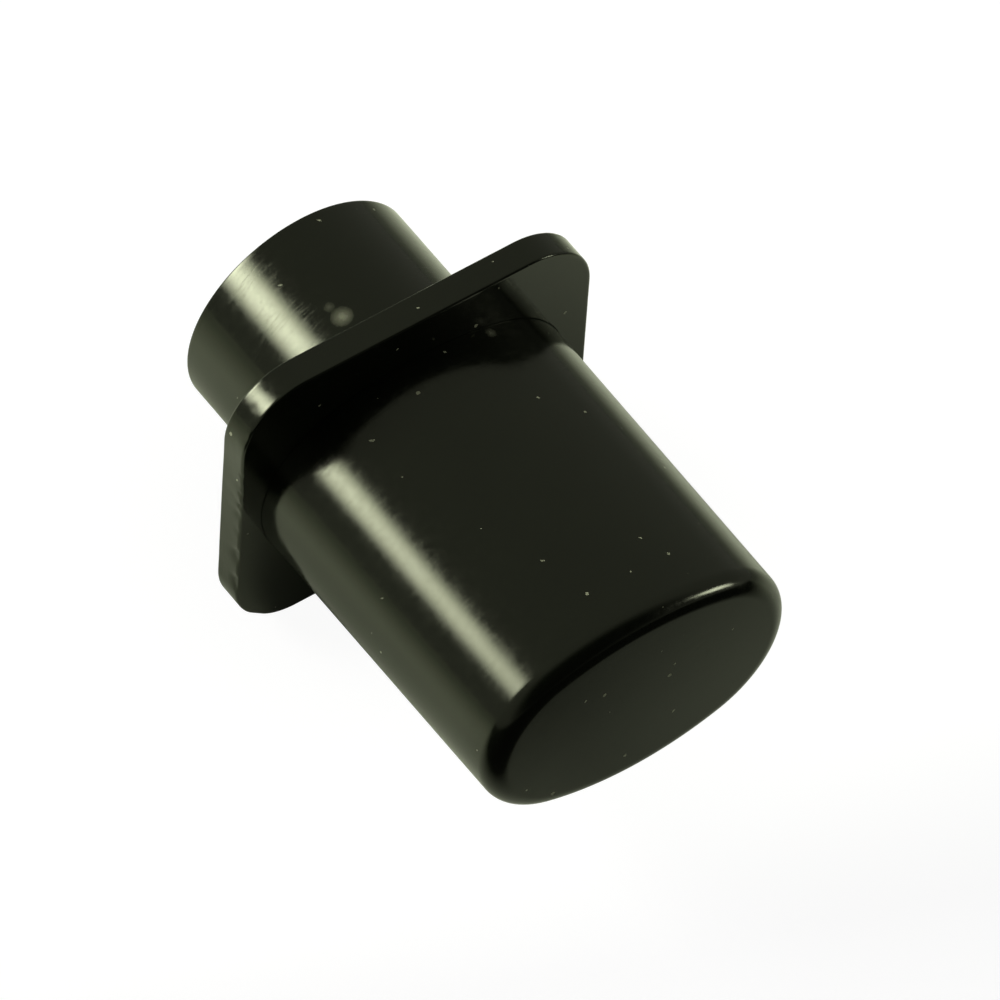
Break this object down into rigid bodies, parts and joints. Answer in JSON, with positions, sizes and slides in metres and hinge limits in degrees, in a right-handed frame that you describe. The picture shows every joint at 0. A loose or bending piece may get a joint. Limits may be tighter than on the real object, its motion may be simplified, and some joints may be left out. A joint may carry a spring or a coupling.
{
  "type": "push button",
  "caption": "Push button with a tall oval cap, a rounded rectangular brim and a round neck that fits a panel hole; sprung cap closes a double-break contact in the neck.",
  "frame": {"origin": "on the neck's axis, in the plane of the brim's rear face, which is the panel's front face", "axes": "+Y runs back through the panel along the neck, so the cap is pressed along +Y and faces -Y; +X is the brim's and cap's long direction; +Z is their short direction and points up"},
  "size_m": [0.0248, 0.0348, 0.0212],
  "materials": {
    "housing_plastic": "gloss black moulded plastic",
    "cap_plastic": "gloss black moulded plastic",
    "bush_bronze": "sintered bronze",
    "seal_rubber": "black nitrile rubber",
    "retainer_steel": "stamped steel",
    "spring_steel": "drawn stainless wire",
    "base_plastic": "glass-filled nylon",
    "carrier_plastic": "natural acetal",
    "ring_steel": "phosphated spring steel",
    "terminal_brass": "tinned brass strip",
    "tip_silver": "silver alloy",
    "insert_brass": "turned brass",
    "washer_steel": "zinc-plated steel",
    "plunger_steel": "turned stainless steel",
    "screw_steel": "zinc-plated steel",
    "bridge_copper": "rolled copper strip"
  },
  "bodies": {
    "housing": {"housing": "housing_plastic", "guide_bush": "bush_bronze", "stem_seal": "seal_rubber", "seal_retainer": "retainer_steel", "return_spring": "spring_steel", "contact_base": "base_plastic", "base_ring": "ring_steel", "terminal_left": "terminal_brass", "terminal_right": "terminal_brass", "fixed_tip_left": "tip_silver", "fixed_tip_right": "tip_silver"},
    "button": {"button_cap": "cap_plastic", "cap_insert": "insert_brass", "spring_seat": "washer_steel", "plunger": "plunger_steel", "retaining_clip": "ring_steel", "bridge_carrier": "carrier_plastic", "stop_washer": "washer_steel", "carrier_screw": "screw_steel", "contact_spring": "spring_steel"},
    "bridge": {"contact_bridge": "bridge_copper", "moving_tip_left": "tip_silver", "moving_tip_right": "tip_silver"}
  },
  "joints": [
    {"name": "button_press", "type": "slide", "parent": "housing", "child": "button", "axis": [0, 1, 0], "range_m": [0, 0.0012], "stiffness_N_per_m": 500, "springref_m": -0.004, "deforming": ["return_spring"]},
    {"name": "bridge_travel", "type": "slide", "parent": "housing", "child": "bridge", "axis": [0, 1, 0], "range_m": [0, 0.00078], "deforming": ["contact_spring"]}
  ],
  "couplings": [
    {"joint": "bridge_travel", "follows": "button_press", "ratio": 0.65}
  ]
}
